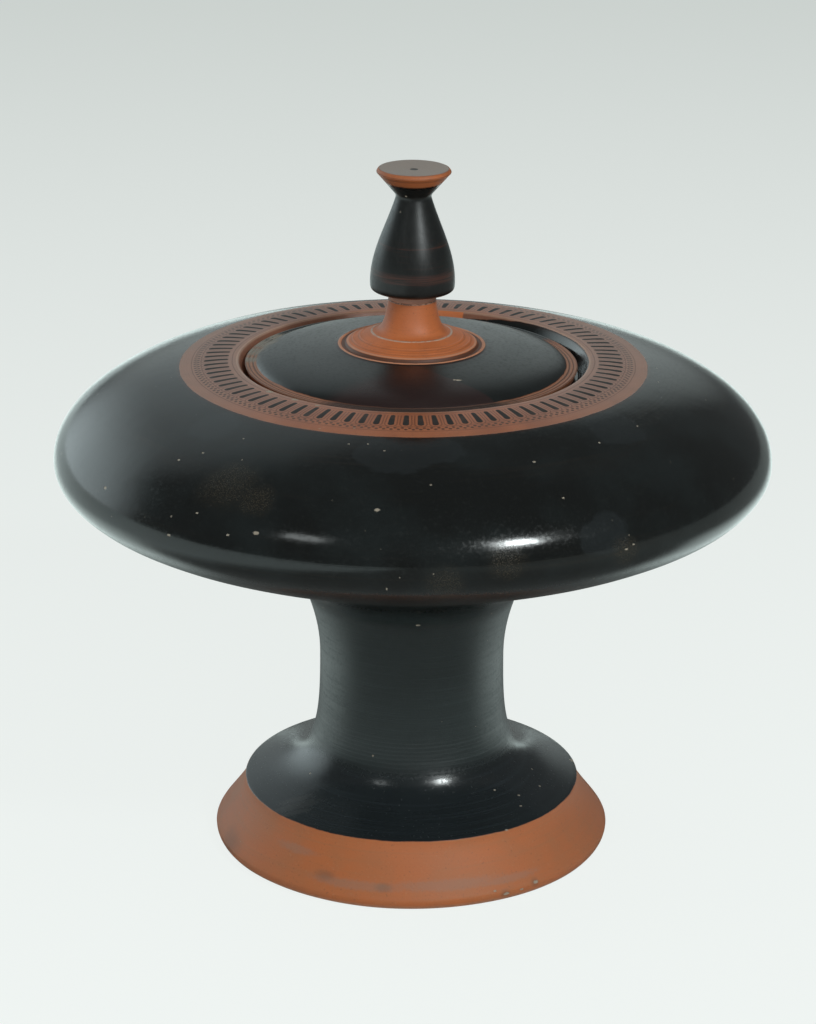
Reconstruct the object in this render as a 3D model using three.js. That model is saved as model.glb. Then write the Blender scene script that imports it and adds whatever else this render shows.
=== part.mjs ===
// A plemochoe: a footed clay bowl for perfumed oil, with an incurving rim and a knobbed lid.
// Millimetres, +Z up. The origin is at the centre of the foot, on the ground.
// The vessel is one thrown and fired piece, and so is the lid, which only rests in the mouth.
import * as THREE from 'three';

// Foot: a clay band that slopes out and down from a sharp arris to a round toe
const FOOT_RADIUS = 68;
const FOOT_HEIGHT = 21;
const ARRIS_RADIUS = 57.7;
const ARRIS_OVERHANG = 0.5;
const TOE_HEIGHT = 3.9;
const TOE_INSET = 3.4;
const REST_RING_WIDTH = 5;
const FOOT_WALL = 5.5;

// Stem: a hollow column, narrow in the middle, that flares into the foot
const STEM_HEIGHT = 68.7;
const STEM_TOP_RADIUS = 36.3;
const STEM_WAIST_RADIUS = 31.6;
const STEM_WAIST_DROP = 23.7;
const FLARE_SLOPE = 18.9;
const STEM_WALL = 5.5;

// Bowl: a flattened body that turns in at its widest level and closes to the mouth
const BOWL_RADIUS = 120;
const BOWL_DEPTH = 48.6;
const SHOULDER_RISE = 32.4;
const BOWL_WALL = 5.5;
const FLOOR_THICKNESS = 7;
const UNDERSIDE_SLOPE = 49;

// Mouth: a crest, a slope that takes the lid, a ledge that carries it, and a collar inside
const CREST_RADIUS = 58.6;
const MOUTH_RADIUS = 57.8;
const LIP_ROUNDING = 0.8;
const SEAT_DEPTH = 5.5;
const SEAT_SLOPE_IN = 2.8;
const LEDGE_WIDTH = 3.4;
const COLLAR_WALL = 5.5;
const COLLAR_DEPTH = 11.5;
const COLLAR_FILLET = 3;

// Lid: a shallow dome with a flat rim and a flange that keeps it in the mouth
const LID_CLEARANCE = 2.3;
const LID_RIM_THICKNESS = 3.5;
const LID_RIM_WIDTH = 3.8;
const LID_EDGE_TAPER = 1.4;
const LID_EDGE_ROUNDING = 0.6;
const LID_DOME_RISE = 6.3;
const LID_WALL = 4.2;
const FLANGE_CLEARANCE = 3.2;
const FLANGE_WALL = 3.6;
const FLANGE_DEPTH = 9.5;

// Boss: the stepped disc in the middle of the lid
const RIDGE_RADIUS = 24;
const BOSS_GAP = 1.7;
const BOSS_RADIUS = 21.7;
const BOSS_STEP = 0.9;
const BOSS_RISE = 3.5;
const BOSS_GROOVE_RADIUS = 17.2;
const BOSS_GROOVE_WIDTH = 0.6;
const BOSS_GROOVE_DEPTH = 0.4;

// Knob: a trumpet stem, a plain collar, a pear and a dished cap on one axis
const KNOB_STEM_FOOT_RADIUS = 13.2;
const KNOB_STEM_RADIUS = 8;
const KNOB_STEM_HEIGHT = 11;
const KNOB_STEM_TAPER = 0.5;
const KNOB_COLLAR_HEIGHT = 3.1;
const PEAR_RADIUS = 14.1;
const PEAR_HEIGHT = 32.1;
const PEAR_SHOULDER = 3.2;
const PEAR_BASE_INSET = 0.9;
const PEAR_NECK_RADIUS = 5.75;
const CAP_RADIUS = 12.5;
const CAP_HEIGHT = 9;
const CAP_EDGE = 1.3;
const CAP_EDGE_ROUNDING = 0.9;
const CAP_DISH = 0.6;

// How the lid sits: a little to the left, its right side a little lower, just clear of the ledge
const LID_SHIFT = 0.7;
const LID_TILT = 0.5;
const SEAT_GAP = 0.3;

// How far each curve follows its end directions, as a share of the reach on that side
const SHOULDER_FLATNESS = 0.47;
const SHOULDER_FULLNESS = 0.56;
const UNDERSIDE_FULLNESS = 0.4;
const UNDERSIDE_STRAIGHTNESS = 0.25;
const STEM_TOP_FLARE = 0.66;
const STEM_STRAIGHTNESS = 0.8;
const FLARE_FLATNESS = 0.85;
const BAND_DROP = 0.34;
const BAND_BULGE = 0.11;
const DOME_EDGE_STEEPNESS = 0.1;
const DOME_FULLNESS = 0.6;
const DOME_FLATNESS = 0.3;
const DOME_TOP_FALL = 0.2;
const TRUMPET_FLARE = 0.7;
const TRUMPET_STRAIGHTNESS = 0.43;
const PEAR_FULLNESS = 0.34;

// Fineness of the facets
const VESSEL_SIDES = 48;
const LID_SIDES = 36;

const point = (r, z) => new THREE.Vector2(r, z);
const radians = THREE.MathUtils.degToRad;

// A cubic curve from one point to another, leaving and arriving along the two handles
function bend(from, leave, arrive, to, steps) {
  return new THREE.CubicBezierCurve(from, leave, arrive, to).getPoints(steps);
}

// A point part of the way from one point to another
function between(from, to, share) {
  return from.clone().lerp(to, share);
}

// The same outline moved sideways by a wall, to the right of its direction of travel
function inset(outline, wall) {
  return outline.map((p, i) => {
    const before = outline[Math.max(i - 1, 0)];
    const after = outline[Math.min(i + 1, outline.length - 1)];
    const along = after.clone().sub(before).normalize();
    return point(p.x + along.y * wall, p.y - along.x * wall);
  });
}

// Spins an outline of radius and height round the vertical axis into a closed solid
function turned(outline, sides) {
  const distinct = outline.filter((p, i) => i === 0 || p.distanceTo(outline[i - 1]) > 0.01);
  const solid = new THREE.LatheGeometry(distinct, sides);
  solid.rotateX(Math.PI / 2);
  return solid;
}

// Levels of the vessel, from the ground up
const stemTop = FOOT_HEIGHT + STEM_HEIGHT;
const waistLevel = stemTop - STEM_WAIST_DROP;
const floorLevel = stemTop + STEM_WALL;
const hollowCeiling = floorLevel - FLOOR_THICKNESS;
const widestLevel = stemTop + BOWL_DEPTH;
const crestLevel = widestLevel + SHOULDER_RISE;
const ledgeLevel = crestLevel - SEAT_DEPTH;

// Radii that both the mouth and the lid use
const seatRadius = MOUTH_RADIUS - SEAT_SLOPE_IN;
const boreRadius = seatRadius - LEDGE_WIDTH;
const collarRadius = boreRadius + COLLAR_WALL;
const lidRadius = MOUTH_RADIUS - LID_CLEARANCE;

// Outer surface of the vessel, from the crest of its mouth down to the toe of its foot
function shoulderCurve() {
  const reach = BOWL_RADIUS - CREST_RADIUS;
  return bend(
    point(CREST_RADIUS, crestLevel),
    point(CREST_RADIUS + SHOULDER_FLATNESS * reach, crestLevel),
    point(BOWL_RADIUS, widestLevel + SHOULDER_FULLNESS * SHOULDER_RISE),
    point(BOWL_RADIUS, widestLevel),
    9,
  );
}

function undersideCurve() {
  const run = UNDERSIDE_STRAIGHTNESS * (BOWL_RADIUS - STEM_TOP_RADIUS);
  return bend(
    point(BOWL_RADIUS, widestLevel),
    point(BOWL_RADIUS, widestLevel - UNDERSIDE_FULLNESS * BOWL_DEPTH),
    point(STEM_TOP_RADIUS + run, stemTop + run * Math.tan(radians(UNDERSIDE_SLOPE))),
    point(STEM_TOP_RADIUS, stemTop),
    8,
  );
}

function stemCurve() {
  const top = point(STEM_TOP_RADIUS, stemTop);
  const waist = point(STEM_WAIST_RADIUS, waistLevel);
  const arris = point(ARRIS_RADIUS, FOOT_HEIGHT);
  const run = FLARE_FLATNESS * (ARRIS_RADIUS - STEM_WAIST_RADIUS);
  const upper = bend(
    top,
    point(top.x - STEM_TOP_FLARE * (top.x - waist.x), top.y - STEM_WAIST_DROP / 3),
    point(waist.x, waist.y + STEM_WAIST_DROP / 3),
    waist,
    3,
  );
  const lower = bend(
    waist,
    point(waist.x, waist.y - STEM_STRAIGHTNESS * (waist.y - arris.y)),
    point(arris.x - run, arris.y + run * Math.tan(radians(FLARE_SLOPE))),
    arris,
    7,
  );
  return [...upper, ...lower.slice(1)];
}

function footBand() {
  const toe = point(FOOT_RADIUS, TOE_HEIGHT);
  const height = FOOT_HEIGHT - TOE_HEIGHT;
  const slope = bend(
    point(ARRIS_RADIUS, FOOT_HEIGHT),
    point(ARRIS_RADIUS + ARRIS_OVERHANG, FOOT_HEIGHT - BAND_DROP * height),
    point(FOOT_RADIUS, TOE_HEIGHT + BAND_BULGE * height),
    toe,
    4,
  );
  const underToe = new THREE.EllipseCurve(
    FOOT_RADIUS - TOE_INSET, TOE_HEIGHT, TOE_INSET, TOE_HEIGHT, 0, -Math.PI / 2, true,
  );
  return [...slope.slice(1), ...underToe.getPoints(3)];
}

// Hidden side of the foot and stem: a hollow that is open below, one wall inside the outer face
function underFoot(stem) {
  const restInner = FOOT_RADIUS - TOE_INSET - REST_RING_WIDTH;
  const innerArris = point(ARRIS_RADIUS - FOOT_WALL, FOOT_HEIGHT - FOOT_WALL);
  const domeFoot = hollowCeiling - STEM_WALL;
  const inside = inset(stem, STEM_WALL)
    .filter((p) => p.y > innerArris.y && p.x < innerArris.x && p.y < domeFoot)
    .reverse();
  const domeRadius = inside.at(-1).x;
  const dome = bend(
    inside.at(-1),
    point(domeRadius, hollowCeiling - STEM_WALL / 2),
    point(domeRadius / 2, hollowCeiling),
    point(0, hollowCeiling),
    4,
  );
  return [point(restInner, 0), innerArris, ...inside, ...dome.slice(1)];
}

// Hidden side of the bowl, from the middle of its floor up to the collar
function insideBowl(shoulder, underside) {
  const wall = inset([...shoulder, ...underside.slice(1)], BOWL_WALL)
    .filter((p) => p.y > floorLevel + BOWL_WALL / 2)
    .filter((p) => p.y < widestLevel || p.x > collarRadius + COLLAR_FILLET)
    .reverse();
  const floor = bend(
    point(0, floorLevel),
    point(wall[0].x / 2, floorLevel),
    between(wall[0], wall[1], -1),
    wall[0],
    3,
  );
  const ceiling = wall.at(-1).y;
  return [
    ...floor,
    ...wall.slice(1),
    point(collarRadius + COLLAR_FILLET, ceiling),
    point(collarRadius, ceiling - COLLAR_FILLET),
  ];
}

// The collar hangs inside the mouth, and the ledge and slope above it take the lid
function mouth() {
  const collarFoot = ledgeLevel - COLLAR_DEPTH;
  const rounding = COLLAR_WALL / 2;
  const lipInside = point(MOUTH_RADIUS, crestLevel - LIP_ROUNDING);
  const lipTop = point(CREST_RADIUS, crestLevel);
  return [
    point(collarRadius, collarFoot + rounding),
    point(boreRadius + rounding, collarFoot),
    point(boreRadius, collarFoot + rounding),
    point(boreRadius, ledgeLevel),
    point(seatRadius, ledgeLevel),
    lipInside,
    point(between(lipInside, lipTop, 0.35).x, between(lipInside, lipTop, 0.75).y),
  ];
}

function vessel() {
  const shoulder = shoulderCurve();
  const underside = undersideCurve();
  const stem = stemCurve();
  const outline = [
    ...insideBowl(shoulder, underside),
    ...mouth(),
    ...shoulder,
    ...underside.slice(1),
    ...stem.slice(1),
    ...footBand(),
    ...underFoot(stem),
  ];
  return turned(outline.reverse(), VESSEL_SIDES);
}

// Levels of the lid, from the underside of its rim
const domeTop = LID_RIM_THICKNESS + LID_DOME_RISE;
const bossEdge = domeTop + BOSS_STEP;
const bossTop = bossEdge + BOSS_RISE;
const knobBase = bossTop + KNOB_STEM_HEIGHT;
const pearBase = knobBase + KNOB_COLLAR_HEIGHT;
const pearTop = pearBase + PEAR_HEIGHT;
const capTop = pearTop + CAP_HEIGHT;

function lidUnderside() {
  const flangeOuter = boreRadius - FLANGE_CLEARANCE;
  const flangeInner = flangeOuter - FLANGE_WALL;
  const rounding = FLANGE_WALL / 2;
  const ceiling = point(0, domeTop - LID_WALL);
  const corner = point(flangeInner, LID_RIM_THICKNESS - LID_WALL / 2);
  return [
    ...bend(ceiling, point(flangeInner / 2, ceiling.y), between(corner, ceiling, DOME_FLATNESS), corner, 3),
    point(flangeInner, rounding - FLANGE_DEPTH),
    point(flangeInner + rounding, -FLANGE_DEPTH),
    point(flangeOuter, rounding - FLANGE_DEPTH),
    point(flangeOuter, 0),
  ];
}

function lidTop() {
  const innerRim = lidRadius - LID_RIM_WIDTH;
  const reach = innerRim - RIDGE_RADIUS;
  const dome = bend(
    point(innerRim, LID_RIM_THICKNESS),
    point(innerRim - DOME_EDGE_STEEPNESS * reach, LID_RIM_THICKNESS + DOME_FULLNESS * LID_DOME_RISE),
    point(RIDGE_RADIUS + DOME_FLATNESS * reach, domeTop - DOME_TOP_FALL * LID_DOME_RISE),
    point(RIDGE_RADIUS, domeTop),
    4,
  );
  const groove = point(BOSS_GROOVE_RADIUS, (bossEdge + bossTop) / 2 - BOSS_GROOVE_DEPTH);
  return [
    point(lidRadius - LID_EDGE_TAPER, 0),
    point(lidRadius, LID_RIM_THICKNESS - LID_EDGE_ROUNDING),
    point(lidRadius - LID_EDGE_ROUNDING, LID_RIM_THICKNESS),
    ...dome,
    point(RIDGE_RADIUS - BOSS_GAP, domeTop),
    point(BOSS_RADIUS, bossEdge),
    point(groove.x + BOSS_GROOVE_WIDTH, groove.y + BOSS_GROOVE_DEPTH / 2),
    groove,
    point(KNOB_STEM_FOOT_RADIUS, bossTop),
  ];
}

function knob() {
  const widest = point(PEAR_RADIUS, pearBase + PEAR_SHOULDER);
  const neck = point(PEAR_NECK_RADIUS, pearTop);
  const body = neck.y - widest.y;
  const taper = widest.x - neck.x;
  const flare = KNOB_STEM_FOOT_RADIUS - KNOB_STEM_RADIUS;
  const trumpet = bend(
    point(KNOB_STEM_FOOT_RADIUS, bossTop),
    point(KNOB_STEM_FOOT_RADIUS - TRUMPET_FLARE * flare, bossTop),
    point(KNOB_STEM_RADIUS + KNOB_STEM_TAPER, knobBase - TRUMPET_STRAIGHTNESS * KNOB_STEM_HEIGHT),
    point(KNOB_STEM_RADIUS, knobBase),
    5,
  );
  const belly = bend(
    point(PEAR_RADIUS - PEAR_BASE_INSET, pearBase),
    point(PEAR_RADIUS, pearBase + PEAR_SHOULDER / 4),
    point(PEAR_RADIUS, pearBase + PEAR_SHOULDER / 2),
    widest,
    3,
  );
  const flank = bend(
    widest,
    point(widest.x, widest.y + PEAR_FULLNESS * body),
    point(neck.x + PEAR_FULLNESS * taper, neck.y - PEAR_FULLNESS * body),
    neck,
    5,
  );
  const rim = capTop - CAP_EDGE;
  return [
    ...trumpet.slice(1),
    point(KNOB_STEM_RADIUS, pearBase),
    ...belly,
    ...flank.slice(1),
    point(CAP_RADIUS - CAP_EDGE_ROUNDING, rim - CAP_EDGE_ROUNDING),
    point(CAP_RADIUS, rim),
    point(CAP_RADIUS - CAP_EDGE_ROUNDING, capTop),
    point(0, capTop - CAP_DISH),
  ];
}

function lid() {
  return turned([...lidUnderside(), ...lidTop(), ...knob()], LID_SIDES);
}

const blackGloss = new THREE.MeshStandardMaterial({ color: 0x14181a, roughness: 0.28, metalness: 0.0 });

function named(name, geometry) {
  const mesh = new THREE.Mesh(geometry, blackGloss);
  mesh.name = name;
  return mesh;
}

const plemochoe = new THREE.Group();
plemochoe.add(named('vessel', vessel()));

const restingLid = named('lid', lid());
const tiltRise = lidRadius * Math.sin(radians(LID_TILT));
restingLid.position.set(-LID_SHIFT, 0, ledgeLevel + SEAT_GAP + tiltRise);
restingLid.rotation.y = radians(LID_TILT);
plemochoe.add(restingLid);

export default plemochoe;
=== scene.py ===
# A plemochoe: a footed clay bowl for perfumed oil, with an incurving mouth and a loose knobbed lid.
# Sizes are in millimetres, with +Z up and the viewer on the -Y side.
import math

import bpy
from mathutils import Matrix, Vector


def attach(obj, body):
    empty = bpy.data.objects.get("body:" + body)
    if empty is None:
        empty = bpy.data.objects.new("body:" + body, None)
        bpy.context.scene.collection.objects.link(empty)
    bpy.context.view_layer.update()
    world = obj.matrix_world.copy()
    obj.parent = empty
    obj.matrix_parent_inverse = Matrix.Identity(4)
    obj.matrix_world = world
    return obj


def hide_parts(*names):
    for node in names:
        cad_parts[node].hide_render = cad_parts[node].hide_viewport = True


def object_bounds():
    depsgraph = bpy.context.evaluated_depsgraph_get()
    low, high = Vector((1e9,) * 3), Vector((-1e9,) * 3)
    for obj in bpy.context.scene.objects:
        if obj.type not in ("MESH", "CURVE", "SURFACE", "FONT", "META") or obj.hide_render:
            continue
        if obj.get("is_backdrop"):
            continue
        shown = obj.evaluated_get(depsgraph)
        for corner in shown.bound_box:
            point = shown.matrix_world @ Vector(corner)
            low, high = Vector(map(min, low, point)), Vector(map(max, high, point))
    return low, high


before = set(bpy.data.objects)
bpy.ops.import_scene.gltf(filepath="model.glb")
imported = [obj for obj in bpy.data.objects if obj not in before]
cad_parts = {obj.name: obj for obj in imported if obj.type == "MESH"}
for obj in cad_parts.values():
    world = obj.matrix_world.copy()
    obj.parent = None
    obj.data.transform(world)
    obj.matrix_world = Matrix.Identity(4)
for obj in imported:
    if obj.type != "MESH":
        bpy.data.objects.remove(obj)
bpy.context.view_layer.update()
bpy.ops.object.select_all(action="DESELECT")

# The vessel: bowl, stem and foot, thrown on the wheel in orange clay and fired as one piece.
# Its outline is drawn from the middle of the bowl's floor, over the lip and down to the hollow
# under the foot, and spun round the wheel's axis. Every edge is a little rounded by hand and wear.
MM = 0.001
VESSEL_SIDES = 240

FOOT_RADIUS = 68.0
FOOT_HEIGHT = 21.0
ARRIS_RADIUS = 57.7
ARRIS_OVERHANG = 0.5
ARRIS_ROUNDING = 0.45
TOE_HEIGHT = 3.9
TOE_INSET = 3.4
REST_RING_WIDTH = 5.0
FOOT_WALL = 5.5
BAND_DROP = 0.34
BAND_BULGE = 0.11

STEM_HEIGHT = 68.7
STEM_TOP_RADIUS = 36.3
STEM_WAIST_RADIUS = 31.6
STEM_WAIST_DROP = 23.7
STEM_TOP_FLARE = 0.66
STEM_STRAIGHTNESS = 0.8
FLARE_SLOPE = 18.9
FLARE_FLATNESS = 0.85
STEM_WALL = 5.5
JOIN_BEAD = 0.35
JOIN_BEAD_WIDTH = 1.3

BOWL_RADIUS = 120.0
BOWL_DEPTH = 48.6
SHOULDER_RISE = 32.4
SHOULDER_FLATNESS = 0.47
SHOULDER_FULLNESS = 0.56
UNDERSIDE_FULLNESS = 0.4
UNDERSIDE_STRAIGHTNESS = 0.25
UNDERSIDE_SLOPE = 49.0
BOWL_WALL = 5.5
FLOOR_THICKNESS = 7.0

CREST_RADIUS = 58.6
MOUTH_RADIUS = 57.8
LIP_ROUNDING = 0.8
SEAT_DEPTH = 5.5
SEAT_SLOPE_IN = 2.8
LEDGE_WIDTH = 3.4
COLLAR_WALL = 5.5
COLLAR_DEPTH = 11.5
COLLAR_FILLET = 3.0
COLLAR_ROUNDING = 2.6
EDGE_ROUNDING = 0.5
VESSEL_TREMOR = 0.3
VESSEL_TREMOR_SPACING = 45.0

stem_top = FOOT_HEIGHT + STEM_HEIGHT
waist_level = stem_top - STEM_WAIST_DROP
floor_level = stem_top + STEM_WALL
hollow_ceiling = floor_level - FLOOR_THICKNESS
widest_level = stem_top + BOWL_DEPTH
crest_level = widest_level + SHOULDER_RISE
ledge_level = crest_level - SEAT_DEPTH
seat_radius = MOUTH_RADIUS - SEAT_SLOPE_IN
bore_radius = seat_radius - LEDGE_WIDTH
collar_radius = bore_radius + COLLAR_WALL


def bend(start, leave, arrive, end, steps):
    """Points of a cubic curve that leaves and arrives along its two handles, without its first."""
    points = []
    for i in range(1, steps + 1):
        t = i / steps
        s = 1 - t
        weights = (s**3, 3 * s * s * t, 3 * s * t * t, t**3)
        pulls = (w * Vector(p) for w, p in zip(weights, (start, leave, arrive, end)))
        points.append(sum(pulls, Vector((0, 0))))
    return points


def straight(start, end, steps):
    """Points on the line from start to end, without its first."""
    return [Vector(start).lerp(Vector(end), i / steps) for i in range(1, steps + 1)]


def rounded(outline, corner, rounding, steps=5):
    """The outline with the corner that lies nearest the given point replaced by a small arc."""
    at = min(range(1, len(outline) - 1), key=lambda i: (outline[i] - Vector(corner)).length)
    tip = outline[at]
    back = at - 1
    while back > 0 and (outline[back] - tip).length < rounding:
        back -= 1
    ahead = at + 1
    while ahead < len(outline) - 1 and (outline[ahead] - tip).length < rounding:
        ahead += 1
    start = tip + (outline[back] - tip).normalized() * rounding
    end = tip + (outline[ahead] - tip).normalized() * rounding
    arc = [start] + bend(start, start.lerp(tip, 0.6), end.lerp(tip, 0.6), end, steps)
    return outline[: back + 1] + arc + outline[ahead:]


def inset(outline, wall):
    """The outline moved sideways by a wall, to the right of its direction of travel."""
    moved = []
    for i, p in enumerate(outline):
        along = (outline[min(i + 1, len(outline) - 1)] - outline[max(i - 1, 0)]).normalized()
        moved.append(Vector((p.x + along.y * wall, p.y - along.x * wall)))
    return moved


def spin_on_wheel(name, outline, sides):
    """Draws an outline of radius and height point by point and spins it into a closed shape."""
    points = [p for i, p in enumerate(outline) if i == 0 or (p - outline[i - 1]).length > 0.005]
    bpy.ops.mesh.primitive_plane_add(size=MM)
    piece = bpy.context.object
    piece.name = name
    piece.data.name = name
    bpy.ops.object.mode_set(mode="EDIT")
    bpy.ops.mesh.merge(type="CENTER")
    bpy.ops.transform.translate(value=(points[0].x * MM, 0, points[0].y * MM))
    for before, p in zip(points, points[1:]):
        step = ((p.x - before.x) * MM, 0, (p.y - before.y) * MM)
        bpy.ops.mesh.extrude_region_move(TRANSFORM_OT_translate={"value": step})
    bpy.ops.mesh.select_all(action="SELECT")
    bpy.ops.mesh.spin(steps=sides, angle=math.tau, center=(0, 0, 0), axis=(0, 0, 1), use_auto_merge=False)
    bpy.ops.mesh.select_all(action="SELECT")
    bpy.ops.mesh.remove_doubles(threshold=0.002 * MM)
    bpy.ops.mesh.normals_make_consistent(inside=False)
    bpy.ops.object.mode_set(mode="OBJECT")
    bpy.ops.object.shade_smooth_by_angle(angle=math.radians(35))
    return piece


def hand_tremor(piece, depth, spacing):
    """Presses the wall in here and there by a hair, as a hand on the wheel leaves it."""
    clouds = bpy.data.textures.new(piece.name + "_tremor", "CLOUDS")
    clouds.noise_scale = spacing * MM
    clouds.noise_depth = 1
    press = piece.modifiers.new("tremor", "DISPLACE")
    press.texture = clouds
    press.texture_coords = "LOCAL"
    press.strength = depth * MM
    press.mid_level = 1.0
    bpy.ops.object.modifier_apply(modifier="tremor")


shoulder = [Vector((CREST_RADIUS, crest_level))] + bend(
    (CREST_RADIUS, crest_level),
    (CREST_RADIUS + SHOULDER_FLATNESS * (BOWL_RADIUS - CREST_RADIUS), crest_level),
    (BOWL_RADIUS, widest_level + SHOULDER_FULLNESS * SHOULDER_RISE),
    (BOWL_RADIUS, widest_level),
    60,
)
underside_run = UNDERSIDE_STRAIGHTNESS * (BOWL_RADIUS - STEM_TOP_RADIUS)
underside = bend(
    (BOWL_RADIUS, widest_level),
    (BOWL_RADIUS, widest_level - UNDERSIDE_FULLNESS * BOWL_DEPTH),
    (STEM_TOP_RADIUS + underside_run, stem_top + underside_run * math.tan(math.radians(UNDERSIDE_SLOPE))),
    (STEM_TOP_RADIUS, stem_top),
    50,
)
stem_taper = STEM_TOP_RADIUS - STEM_WAIST_RADIUS
stem_upper = bend(
    (STEM_TOP_RADIUS, stem_top),
    (STEM_TOP_RADIUS - STEM_TOP_FLARE * stem_taper, stem_top - STEM_WAIST_DROP / 3),
    (STEM_WAIST_RADIUS, waist_level + STEM_WAIST_DROP / 3),
    (STEM_WAIST_RADIUS, waist_level),
    16,
)
flare_run = FLARE_FLATNESS * (ARRIS_RADIUS - STEM_WAIST_RADIUS)
stem_lower = bend(
    (STEM_WAIST_RADIUS, waist_level),
    (STEM_WAIST_RADIUS, waist_level - STEM_STRAIGHTNESS * (waist_level - FOOT_HEIGHT)),
    (ARRIS_RADIUS - flare_run, FOOT_HEIGHT + flare_run * math.tan(math.radians(FLARE_SLOPE))),
    (ARRIS_RADIUS, FOOT_HEIGHT),
    40,
)
stem = stem_upper + stem_lower
band_height = FOOT_HEIGHT - TOE_HEIGHT
foot_band = bend(
    (ARRIS_RADIUS, FOOT_HEIGHT),
    (ARRIS_RADIUS + ARRIS_OVERHANG, FOOT_HEIGHT - BAND_DROP * band_height),
    (FOOT_RADIUS, TOE_HEIGHT + BAND_BULGE * band_height),
    (FOOT_RADIUS, TOE_HEIGHT),
    26,
)
toe = []
for i in range(1, 8):
    down = math.pi / 2 * i / 7
    outward = FOOT_RADIUS - TOE_INSET + TOE_INSET * math.cos(down)
    toe.append(Vector((outward, TOE_HEIGHT * (1 - math.sin(down)))))

rest_inner = FOOT_RADIUS - TOE_INSET - REST_RING_WIDTH
inner_arris = Vector((ARRIS_RADIUS - FOOT_WALL, FOOT_HEIGHT - FOOT_WALL))
stem_inside = [
    p
    for p in inset(stem, STEM_WALL)[::2]
    if p.y > inner_arris.y and p.x < inner_arris.x and p.y < hollow_ceiling - STEM_WALL
]
stem_inside.reverse()
dome_radius = stem_inside[-1].x
stem_dome = bend(
    stem_inside[-1],
    (dome_radius, hollow_ceiling - STEM_WALL / 2),
    (dome_radius / 2, hollow_ceiling),
    (0, hollow_ceiling),
    12,
)
under_foot = straight(toe[-1], (rest_inner, 0), 3) + straight((rest_inner, 0), inner_arris, 6)
under_foot += stem_inside + stem_dome

bowl_inside = [
    p
    for p in inset(shoulder + underside, BOWL_WALL)[::3]
    if p.y > floor_level + BOWL_WALL / 2 and (p.y < widest_level or p.x > collar_radius + COLLAR_FILLET)
]
bowl_inside.reverse()
middle = Vector((0, floor_level))
before_wall = bowl_inside[0] * 2 - bowl_inside[1]
bowl_floor = bend(middle, (bowl_inside[0].x / 2, floor_level), before_wall, bowl_inside[0], 10)
inner_ceiling = bowl_inside[-1].y
collar_foot = ledge_level - COLLAR_DEPTH
lip = Vector((MOUTH_RADIUS, crest_level - LIP_ROUNDING * 0.4))
mouth = [
    Vector((collar_radius, inner_ceiling)),
    Vector((collar_radius, collar_foot)),
    Vector((bore_radius, collar_foot)),
    Vector((bore_radius, ledge_level)),
    Vector((seat_radius, ledge_level)),
    lip,
]
mouth_drawn = [bowl_inside[-1]]
for corner in mouth:
    mouth_drawn += straight(mouth_drawn[-1], corner, 4)
mouth_drawn = mouth_drawn[1:]

vessel_outline = [middle] + bowl_floor + bowl_inside[1:] + mouth_drawn
vessel_outline += shoulder + underside + stem + foot_band + toe + under_foot
for corner, rounding in (
    ((collar_radius, inner_ceiling), COLLAR_FILLET),
    ((collar_radius, collar_foot), COLLAR_ROUNDING),
    ((bore_radius, collar_foot), COLLAR_ROUNDING),
    ((bore_radius, ledge_level), EDGE_ROUNDING),
    ((seat_radius, ledge_level), EDGE_ROUNDING),
    (lip, EDGE_ROUNDING),
    ((ARRIS_RADIUS, FOOT_HEIGHT), ARRIS_ROUNDING),
    (inner_arris, EDGE_ROUNDING * 2),
    ((rest_inner, 0), EDGE_ROUNDING),
):
    vessel_outline = rounded(vessel_outline, corner, rounding)
for p in vessel_outline:
    if p.x > STEM_TOP_RADIUS - 6 and abs(p.y - stem_top) < 3:
        p.x += JOIN_BEAD * math.exp(-(((p.y - stem_top) / JOIN_BEAD_WIDTH) ** 2))

vessel = spin_on_wheel("thrown_vessel", vessel_outline, VESSEL_SIDES)
hand_tremor(vessel, VESSEL_TREMOR, VESSEL_TREMOR_SPACING)


def join(tree, value, socket):
    """Sets a socket to a value, or links another node's socket to it."""
    if isinstance(value, bpy.types.NodeSocket):
        tree.links.new(value, socket)
    elif value is not None:
        socket.default_value = value


def put(tree, kind, *values, **settings):
    """Adds a node with its settings, and gives its inputs their values in order."""
    node = tree.nodes.new("ShaderNode" + kind)
    for setting, value in settings.items():
        setattr(node, setting, value)
    for value, socket in zip(values, node.inputs):
        join(tree, value, socket)
    return node


def maths(tree, operation, *values):
    return put(tree, "Math", *values, operation=operation).outputs[0]


def scaled(tree, value, factor, more):
    """The value times a factor, with more added."""
    return maths(tree, "MULTIPLY_ADD", value, factor, more)


def outside(tree, mask):
    """1 where the mask is 0, and 0 where it is 1."""
    return maths(tree, "SUBTRACT", 1.0, mask)


def length(tree, vector):
    return put(tree, "VectorMath", vector, operation="LENGTH").outputs["Value"]


def soft_step(tree, value, low, high):
    """0 below low, 1 above high, and smooth in between."""
    return put(tree, "MapRange", value, low, high, interpolation_type="SMOOTHSTEP").outputs[0]


def ring(tree, value, low, high, edge):
    """1 where value lies between low and high, with soft edges."""
    rise = soft_step(tree, value, low - edge, low + edge)
    fall = soft_step(tree, value, high - edge, high + edge)
    return maths(tree, "SUBTRACT", rise, fall)


def strongest(tree, *masks):
    result = masks[0]
    for mask in masks[1:]:
        result = maths(tree, "MAXIMUM", result, mask)
    return result


def rings(tree, value, spans, edge):
    """1 where value lies in any of several rings, each given by its start and end."""
    return strongest(tree, *(ring(tree, value, low, high, edge) for low, high in spans))


def times(tree, *masks):
    result = masks[0]
    for mask in masks[1:]:
        result = maths(tree, "MULTIPLY", result, mask)
    return result


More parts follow.
